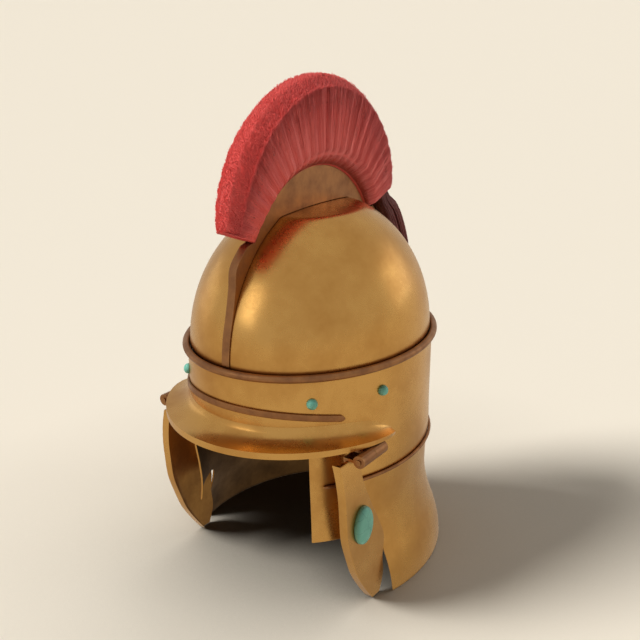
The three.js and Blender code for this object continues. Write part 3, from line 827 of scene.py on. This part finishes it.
# %% Ridge
RIDGE_HALF_THICK = 3.5
RIDGE_HEIGHTS = (3.2, 22, 43, 60, 76, 88.5)
RIDGE_PROUD = (1.1, 1.4, 2.6, 7.7, 16.7, 17.8)


def resample(line, count):
    """Points at even distances along a line."""
    step = np.linalg.norm(np.diff(line, axis=0), axis=1)
    walked = np.concatenate([[0], np.cumsum(step)])
    at = np.linspace(0, walked[-1], count)
    return np.stack([np.interp(at, walked, line[:, i]) for i in range(line.shape[1])], axis=-1)


climb = np.linspace(RIDGE_HEIGHTS[0], RIDGE_HEIGHTS[-1], 50)
proud = spline(climb, RIDGE_HEIGHTS, RIDGE_PROUD)
behind = np.stack([OVAL * bowl_radius(climb) + proud, climb], axis=-1)
forward = behind * [-1, 1]
arch_angles = np.linspace(CREST_END_ANGLE, 180 - CREST_END_ANGLE, 90)
arch = crest_point(arch_angles, reach_to(CREST_INNER, arch_angles) - SEAT)[:, 1:]
outer_line = np.vstack([forward, arch, behind[::-1]])
seat_radii = BOWL_RADIUS * np.cos(np.linspace(0.03, np.pi / 2, 80))
seat_half = np.stack([OVAL * seat_radii, bowl_height(seat_radii) + SEAT], axis=-1)
seat_line = resample(np.vstack([seat_half * [-1, 1], seat_half[-2::-1]]), len(outer_line))
thick = np.full((len(outer_line), 1), RIDGE_HALF_THICK)
corners = [
    np.hstack([-thick, outer_line]), np.hstack([thick, outer_line]),
    np.hstack([thick, seat_line]), np.hstack([-thick, seat_line]),
]
add_piece("crest_fin", *bar(np.stack(corners, axis=1)), patina, "brown_bronze",
          nodes=["crest_ridge"], edge=0.7)

# %% [markdown]
# ## The crest
# The crest is a brush of horsehair. Tufts are tied into a backing on the fin, fan out and are then
# clipped to shape: upright sides, sloping shoulders and a narrow flat top. Under the hair lies a
# core of the same form, a little smaller, so that no light shines through. The hair itself is
# thousands of thin three-sided strands joined in a few meshes. Real horsehair is a fifth of a
# millimetre thick. It is drawn coarser here, because that would be too fine to show.

# %% Strands
STRAND_SIDES = 3


def add_strands(name, paths, sideways, thick, tint, finish, slot, nodes=()):
    """One mesh of many closed strands. Paths holds a row of points for each strand, root first."""
    count, stations = paths.shape[:2]
    tangent = np.gradient(paths, axis=1)
    tangent /= np.linalg.norm(tangent, axis=2)[..., None]
    first = np.cross(tangent, sideways[:, None])
    first /= np.linalg.norm(first, axis=2)[..., None]
    second = np.cross(tangent, first)
    taper = np.linspace(1, 0.4, stations)[:, None, None]
    turn = np.linspace(0, 2 * np.pi, STRAND_SIDES, endpoint=False)[:, None]
    ring = first[:, :, None] * np.cos(turn) + second[:, :, None] * np.sin(turn)
    points = paths[:, :, None] + ring * taper * thick[:, None, None, None] / 2
    size = stations * STRAND_SIDES
    roots = (np.arange(count) * size)[:, None, None]
    walls = (grid_faces(stations, STRAND_SIDES, closed=True) + roots).reshape(-1, 4).tolist()
    ends = np.array([[2, 1, 0], [size - 3, size - 2, size - 1]])
    caps = (ends + roots).reshape(-1, 3).tolist()
    piece = add_piece(name, points.reshape(-1, 3), walls + caps, finish, slot, nodes=nodes)
    shares = np.tile(np.repeat(np.linspace(0, 1, stations), STRAND_SIDES), count)
    add_values(piece, "tint", np.repeat(tint, size))
    add_values(piece, "along", shares)
    return piece


def add_values(piece, label, values):
    """Gives every point of a piece a number that its finish can read."""
    layer = piece.data.attributes.new(label, "FLOAT", "POINT")
    layer.data.foreach_set("value", np.asarray(values, np.float32))


def shade_core(core, tint):
    """A core has one tint, and carries the painted root shade of hair halfway up."""
    count = len(core.data.vertices)
    add_values(core, "tint", np.full(count, tint))
    add_values(core, "along", np.full(count, 0.4))


# %% Crest form
CREST_HALF_WIDTH = 15
CREST_BASE_HALF_WIDTH = 5
CREST_FLARE = 11
CREST_CROWN = 9
CREST_END_SHARE = 0.74
CREST_SLIMMING = 6
LOCKS = 22
LOCK_PITCH = (180 - 2 * CREST_END_ANGLE) / LOCKS
LOCK_DENT = 0.05
CORE_INSET = 0.7


def crest_fullness(angle):
    """Share of the crest's full section at an angle: it slims towards its two ends."""
    to_end = np.clip(np.abs(angle - 90) / (90 - CREST_END_ANGLE), 0, 1)
    return lerp(1, CREST_END_SHARE, to_end**CREST_SLIMMING)


def lock_swell(angle):
    """Full in the middle of a lock, and dented between two of them."""
    phase = (angle - CREST_END_ANGLE) / LOCK_PITCH
    return 1 - LOCK_DENT * np.abs(np.cos(np.pi * phase)) ** 3


def crest_half_width(angle, distance):
    """Half of the brush's thickness, from its root to where the shoulders start."""
    inner = reach_to(CREST_INNER, angle)
    wide = CREST_HALF_WIDTH * crest_fullness(angle) * lock_swell(angle)
    return lerp(CREST_BASE_HALF_WIDTH, wide, smooth_step(distance, inner, inner + CREST_FLARE))


def crest_tip(angle, share):
    """Distance at which hair is clipped, at a share of the half-width from -1 to 1."""
    flat = CREST_BASE_HALF_WIDTH / CREST_HALF_WIDTH
    rise = np.clip((1 - np.abs(share)) / (1 - flat), 0, 1)
    return reach_to(CREST_OUTER, angle) + CREST_CROWN * crest_fullness(angle) * rise


core_angles = np.linspace(CREST_END_ANGLE + 0.5, 180 - CREST_END_ANGLE - 0.5, 12 * LOCKS)
inner = reach_to(CREST_INNER, core_angles)
out_share = np.linspace(0, 1, 14)
side_distance = lerp(inner[:, None], crest_tip(core_angles, 1.0)[:, None] - CORE_INSET, out_share)
side_width = crest_half_width(core_angles[:, None], side_distance) - CORE_INSET
top_share = np.linspace(1, -1, 17)[1:-1]
top_distance = crest_tip(core_angles[:, None], top_share) - CORE_INSET
top_width = side_width[:, -1:] * top_share
distances = np.hstack([side_distance, top_distance, side_distance[:, ::-1]])
widths = np.hstack([side_width, top_width, -side_width[:, ::-1]])
core = crest_point(core_angles[:, None], distances, widths)
crest_core = add_piece("crest_core", *bar(core), red_hair, "red_horsehair", nodes=["crest"])
shade_core(crest_core, 0.25)

# %% Crest hair
SIDE_STRANDS = 7200
TOP_STRANDS = 22000
END_STRANDS = 1600
TUFTS = 150
STRAND_THICK = (0.6, 0.95)
# How hair strays: tips along the arch in degrees, depth into the brush as a share of its width,
# and clipped length and flyaway tips in millimetres.
TIP_SPREAD = 0.45
SIDE_DEPTH = 0.035
CLIP_UNEVEN = 0.5
FLYAWAY = 0.3
# A strand bends near its root and is straight above that, so its points lie closer there.
STRAND_STATIONS = np.array([0, 0.1, 0.22, 0.55, 1])
CREST_SPAN = 180 - 2 * CREST_END_ANGLE
draw = np.random.default_rng(11)
# No two tufts are the same: each has its own place, hold on its hair and depth of dye.
tuft_ends = np.arange(1, TUFTS) + draw.uniform(-0.4, 0.4, TUFTS - 1)
TUFT_EDGES = CREST_END_ANGLE + CREST_SPAN / TUFTS * tuft_ends
TUFT_LIMITS = np.concatenate([[CREST_END_ANGLE], TUFT_EDGES, [180 - CREST_END_ANGLE]])
TUFT_MIDDLES = (TUFT_LIMITS[1:] + TUFT_LIMITS[:-1]) / 2
TUFT_HOLD = draw.uniform(0, 0.6, TUFTS)
TUFT_SHADE = draw.uniform(0, 1, TUFTS)


def arch_way(angle):
    """The way along the arch at an angle."""
    turn = np.radians(angle)
    return xyz(0, np.sin(turn), np.cos(turn))


def tufted(angles):
    """Angles drawn towards the middle of their tuft, as tied hair is."""
    tuft = np.searchsorted(TUFT_EDGES, angles)
    return lerp(angles, TUFT_MIDDLES[tuft], TUFT_HOLD[tuft])


def hair_tint(angles):
    """A shade for each hair: partly its tuft's and partly its own."""
    return lerp(draw.uniform(0, 1, len(angles)), TUFT_SHADE[np.searchsorted(TUFT_EDGES, angles)], 0.45)


def side_hair(side):
    """Strands down one side of the brush."""
    angles = draw.uniform(CREST_END_ANGLE, 180 - CREST_END_ANGLE, SIDE_STRANDS)
    tip_angles = tufted(angles) + draw.normal(0, TIP_SPREAD, SIDE_STRANDS)
    tip_angles = np.clip(tip_angles, CREST_END_ANGLE - 0.6, 180.6 - CREST_END_ANGLE)
    depth = np.abs(draw.normal(0, SIDE_DEPTH, SIDE_STRANDS))
    at = lerp(angles[:, None], tip_angles[:, None], STRAND_STATIONS)
    root = reach_to(CREST_INNER, angles) + 1
    tip = crest_tip(tip_angles, 1 - depth) + draw.normal(0, CLIP_UNEVEN, SIDE_STRANDS)
    distance = lerp(root[:, None], tip[:, None], STRAND_STATIONS)
    across = crest_half_width(at, distance) * (1 - depth[:, None])
    across += draw.normal(0, FLYAWAY, (SIDE_STRANDS, 1)) * STRAND_STATIONS
    paths = crest_point(at, distance, side * across)
    thick = draw.uniform(*STRAND_THICK, SIDE_STRANDS)
    return paths, arch_way(angles), thick, hair_tint(angles)


for label, side in (("left", 1), ("right", -1)):
    add_strands(f"crest_hair_{label}", *side_hair(side), red_hair, "red_horsehair")

# %% Crest top and ends
SHOWN_LENGTH = 12
TOP_THICK = (0.7, 1.1)
TOP_UNEVEN = 0.45
TOP_LEAN = 0.5
angles = draw.uniform(CREST_END_ANGLE, 180 - CREST_END_ANGLE, TOP_STRANDS)
share = draw.uniform(-1, 1, TOP_STRANDS)
tip = crest_tip(angles, share) + draw.normal(0, TOP_UNEVEN, TOP_STRANDS)
along = np.array([0, 1])
lean = draw.normal(0, TOP_LEAN, (TOP_STRANDS, 2))
at = angles[:, None] + lean[:, :1] * along
distance = tip[:, None] - SHOWN_LENGTH * (1 - along)
across = share[:, None] * crest_half_width(at, distance) + lean[:, 1:] * along
thick = draw.uniform(*TOP_THICK, TOP_STRANDS)
paths = crest_point(at, distance, across)
add_strands("crest_hair_top", paths, arch_way(angles), thick, hair_tint(angles),
            red_hair, "red_horsehair")

angles = np.where(np.arange(END_STRANDS) % 2, CREST_END_ANGLE, 180 - CREST_END_ANGLE)
share = draw.uniform(-1, 1, END_STRANDS)
root = reach_to(CREST_INNER, angles) + 1
tip = crest_tip(angles, share) + draw.normal(0, CLIP_UNEVEN, END_STRANDS)
distance = lerp(root[:, None], tip[:, None], STRAND_STATIONS)
across = share[:, None] * crest_half_width(angles[:, None], distance)
proud = np.where(angles < 90, -1, 1) * np.abs(draw.normal(0.2, 0.3, END_STRANDS))
paths = crest_point(angles[:, None], distance, across, proud[:, None])
thick = draw.uniform(*STRAND_THICK, END_STRANDS)
add_strands("crest_hair_ends", paths, arch_way(angles), thick, draw.uniform(0, 1, END_STRANDS),
            red_hair, "red_horsehair")

# %% [markdown]
# ## The tail
# Longer hair hangs from the crest's back end and falls behind the bowl. It is a loose bundle: the
# strands share one curve down the back, gather into a few locks and end unevenly. A core hides the
# light between them here too.

# %% Tail
# Its middle line, which starts inside the crest's back end, and its half-depth.
TAIL_Y = (93.5, 98.4, 109, 120, 131.5, 138, 140, 139.5)
TAIL_Z = (103.5, 91, 80, 63.5, 39, 9, -25, -58)
TAIL_HALF_DEPTH = (6, 8, 11, 12.5, 13, 12, 10, 5)
TAIL_HALF_WIDTH = 12
TAIL_STRANDS = 1900
TAIL_LOCKS = 17
# The core as shares of the tail: its length, its width at the top, and how much it slims.
TAIL_CORE_LENGTH = 0.88
TAIL_CORE_WIDTH = 0.84
TAIL_CORE_TAPER = 0.55
knots = np.arange(len(TAIL_Y))


def tail_point(share, across, deep):
    """Points of the tail, at shares of its length, of its half-width and of its half-depth."""
    at = np.clip(share, 0, 1) * knots[-1]
    step = 0.01
    y = spline(at, knots, TAIL_Y)
    z = spline(at, knots, TAIL_Z)
    ahead = np.minimum(at + step, knots[-1])
    behind = np.maximum(at - step, 0)
    slope_y = spline(ahead, knots, TAIL_Y) - spline(behind, knots, TAIL_Y)
    slope_z = spline(ahead, knots, TAIL_Z) - spline(behind, knots, TAIL_Z)
    length = np.hypot(slope_y, slope_z)
    lift = deep * spline(at, knots, TAIL_HALF_DEPTH)
    x = across * TAIL_HALF_WIDTH * lerp(0.75, 1, smooth_step(share, 0, 0.25))
    return xyz(x, y - lift * slope_z / length, z + lift * slope_y / length)


def squared(value):
    """Pushes a circle out towards a square, as flat bundles of hair lie."""
    return np.sign(value) * np.abs(value) ** 0.5


share = np.linspace(0, TAIL_CORE_LENGTH, 40)[:, None]
turn = np.linspace(0, 2 * np.pi, 24, endpoint=False)
slim = TAIL_CORE_WIDTH * (1 - TAIL_CORE_TAPER * share**2)
core = tail_point(share, slim * squared(np.cos(turn)), slim * squared(np.sin(turn)))
tail_core = add_piece("tail_core", *bar(core), dark_hair, "dark_horsehair", nodes=["crest_tail"])
shade_core(tail_core, 0.2)

# %% Tail hair
TAIL_THICK = (0.65, 1.0)
TAIL_TAPER = 0.5
LOCK_GATHER = 0.7
WAVE_SHARE = 0.06
WAVES = 8
STRAY_SHARE = 0.05
lock_width = draw.uniform(0.6, 1.4, TAIL_LOCKS)
lock_ends = 2 * np.pi * np.cumsum(lock_width) / lock_width.sum()
lock_middle = lock_ends - np.pi * lock_width / lock_width.sum()
lock_length = draw.uniform(0.84, 1.0, TAIL_LOCKS)
lock_shade = draw.uniform(0, 1, TAIL_LOCKS)

turn = draw.uniform(0, 2 * np.pi, TAIL_STRANDS)
lock = np.minimum(np.searchsorted(lock_ends, turn), TAIL_LOCKS - 1)
fill = np.sqrt(draw.uniform(0.6, 1, TAIL_STRANDS))
length = lock_length[lock] * draw.uniform(0.88, 1.0, TAIL_STRANDS)
stations = np.linspace(0, 1, 14)
share = length[:, None] * stations
gather = LOCK_GATHER * stations**1.6
at = lerp(turn[:, None], lock_middle[lock][:, None], gather)
slim = fill[:, None] * (1 - TAIL_TAPER * share**2)
# Each lock is waved a little out of step with the next one.
wave = WAVE_SHARE * np.sin(share * WAVES + lock[:, None] * 2.1) * stations
drift = draw.normal(0, STRAY_SHARE, (TAIL_STRANDS, 2))
across = slim * squared(np.cos(at)) + wave + drift[:, :1] * stations
deep = slim * squared(np.sin(at)) + drift[:, 1:] * stations
thick = draw.uniform(*TAIL_THICK, TAIL_STRANDS)
tint = lerp(draw.uniform(0, 1, TAIL_STRANDS), lock_shade[lock], 0.5)
sideways = np.tile([1.0, 0.0, 0.0], (TAIL_STRANDS, 1))
paths = tail_point(share, across, deep)
add_strands("tail_hair", paths, sideways, thick, tint, dark_hair, "dark_horsehair")

# %% [markdown]
# ## Floor and light
# The floor is a plain cream sweep of matt card. A large soft lamp stands on the camera's left, so
# the shadow falls to the right, and two weaker ones behind and on the right fill the dark side.
# Three softboxes do nothing but show up as reflections in the bronze: polished metal has no colour
# of its own until something bright is mirrored in it. The helmet's own shadow would be mirrored in
# it too, as a dark patch, so in reflections the floor mostly shows as a glowing card of even
# brightness. Near the helmet the card's colour is painted darker, as painted shade, which sets it
# firmly on the floor.

# %% Floor
FLOOR_SIZE = 600.0
CARD_SHADE = 0.58
CARD_SHARE = 0.7
PAINTED_SHADE_REACH = 0.3


def make_floor():
    finish, tree, shader, place = new_finish("matt_cream_card")
    grain = add_node(tree, "TexNoise", {"Vector": place, "Scale": 1 / (2 * MM)}).outputs["Fac"]
    relief = add_node(tree, "Bump", {"Height": grain, "Distance": 0.05 * MM, "Strength": 0.3})
    tree.links.new(relief.outputs["Normal"], shader.inputs["Normal"])
    # Painted shade: the card's colour darkens where the helmet shelters it from the light.
    open_air = add_node(tree, "AmbientOcclusion", {"Distance": PAINTED_SHADE_REACH}, samples=16).outputs["AO"]
    cream_with_painted_shade = add_node(tree, "Mix", {
        MIX: open_air, FIRST: colour("#4E4A42"), SECOND: colour("#EFE5D3"),
    }, data_type="RGBA").outputs[MIXED]
    tree.links.new(cream_with_painted_shade, shader.inputs["Base Color"])
    shader.inputs["Roughness"].default_value = 0.9
    ray = add_node(tree, "LightPath", {}).outputs
    card = add_node(tree, "Emission", {"Color": colour("#F0E7D6"), "Strength": CARD_SHADE}).outputs[0]
    share = add_node(tree, "Math", {
        0: ray["Is Glossy Ray"], 1: CARD_SHARE,
    }, operation="MULTIPLY").outputs[0]
    seen = add_node(tree, "MixShader", {0: share, 1: shader.outputs[0], 2: card}).outputs[0]
    tree.links.new(seen, tree.nodes["Material Output"].inputs["Surface"])
    # The card only shows in reflections and never works as a lamp.
    finish.cycles.emission_sampling = "NONE"
    # One triangle has no seam inside it that could show as a line.
    mesh = bpy.data.meshes.new("floor")
    near = -FLOOR_SIZE
    far = 2 * FLOOR_SIZE
    mesh.from_pydata([(near, near, 0), (far, near, 0), (near, far, 0)], [], [(0, 1, 2)])
    mesh.materials.append(finish)
    floor = bpy.data.objects.new("floor", mesh)
    bpy.context.scene.collection.objects.link(floor)


make_floor()
print("floor", FLOOR_SIZE, "m to each side")

# %% Light
HELMET_MIDDLE = Vector((0, 0, 0.2))
SUN_DISTANCE = 3.0
SOFTBOX_DISTANCE = 1.5
SHADOW_ONLY = {"visible_glossy": False}
MIRRORED_ONLY = {"visible_diffuse": False}


def add_lamp(name, kind, to_side, elevation, distance, energy, seen, **sizes):
    """A lamp so many degrees right of the camera as seen from the helmet, shining at its middle."""
    lamp = bpy.data.lights.new(name, kind)
    lamp.energy = energy
    for key, value in sizes.items():
        setattr(lamp, key, value)
    holder = bpy.data.objects.new(name, lamp)
    for key, value in seen.items():
        setattr(holder, key, value)
    place = HELMET_MIDDLE + direction(CAMERA_AZIMUTH + to_side, elevation) * distance
    aim(holder, place, HELMET_MIDDLE)
    print(name, kind, energy)


def add_softbox(name, to_side, elevation, brightness, width, height):
    """A glowing panel of this brightness that shows only as a reflection."""
    power = brightness * math.pi * width * height
    add_lamp(name, "AREA", to_side, elevation, SOFTBOX_DISTANCE, power, MIRRORED_ONLY,
             shape="RECTANGLE", size=width, size_y=height)


def add_sun(name, to_side, elevation, energy, spread):
    """A lamp as wide as this many degrees, which lights and casts shadows but is never mirrored."""
    add_lamp(name, "SUN", to_side, elevation, SUN_DISTANCE, energy, SHADOW_ONLY,
             angle=math.radians(spread))


add_sun("key", -82, 43, 3.75, 25)
add_sun("back_fill", 142, 44, 0.75, 60)
add_sun("side_fill", 82, 13, 0.5, 20)
add_softbox("front_left_softbox", -50, 27, 1.2, 0.45, 0.7)
add_softbox("right_softbox", 112, 14, 0.68, 0.8, 0.6)
add_softbox("left_softbox", -118, 8, 0.3, 0.8, 0.6)

# %% [markdown]
# ### The studio's walls
# Everything beyond the lamps is one even light. It does three jobs that a real studio does with
# three different surfaces: dim walls that lift the shadows a little, paler screens for the bronze
# to mirror, and a backdrop of the floor's own colour. The kind of ray that reaches it tells which
# of the three is wanted.

# %% Surrounding light
WALLS = 0.04
SCREENS = 0.57
world = bpy.data.worlds.new("studio")
bpy.context.scene.world = world
world.cycles.sampling_method = "NONE"
world.use_nodes = True
tree = world.node_tree
ray = add_node(tree, "LightPath", {}).outputs
mirrored = add_node(tree, "MapRange", {
    "Value": ray["Is Glossy Ray"], "To Min": WALLS, "To Max": SCREENS,
}).outputs["Result"]
strength = add_node(tree, "Math", {0: mirrored, 1: ray["Is Camera Ray"]}, operation="MAXIMUM").outputs[0]
tone = add_node(tree, "Mix", {
    MIX: ray["Is Camera Ray"], FIRST: colour("#FCF8F0"), SECOND: colour("#F2E8D5"),
}, data_type="RGBA").outputs[MIXED]
tree.links.new(tone, tree.nodes["Background"].inputs["Color"])
tree.links.new(strength, tree.nodes["Background"].inputs["Strength"])
bpy.context.scene.view_settings.view_transform = "Standard"
print("walls", WALLS, "screens", SCREENS)
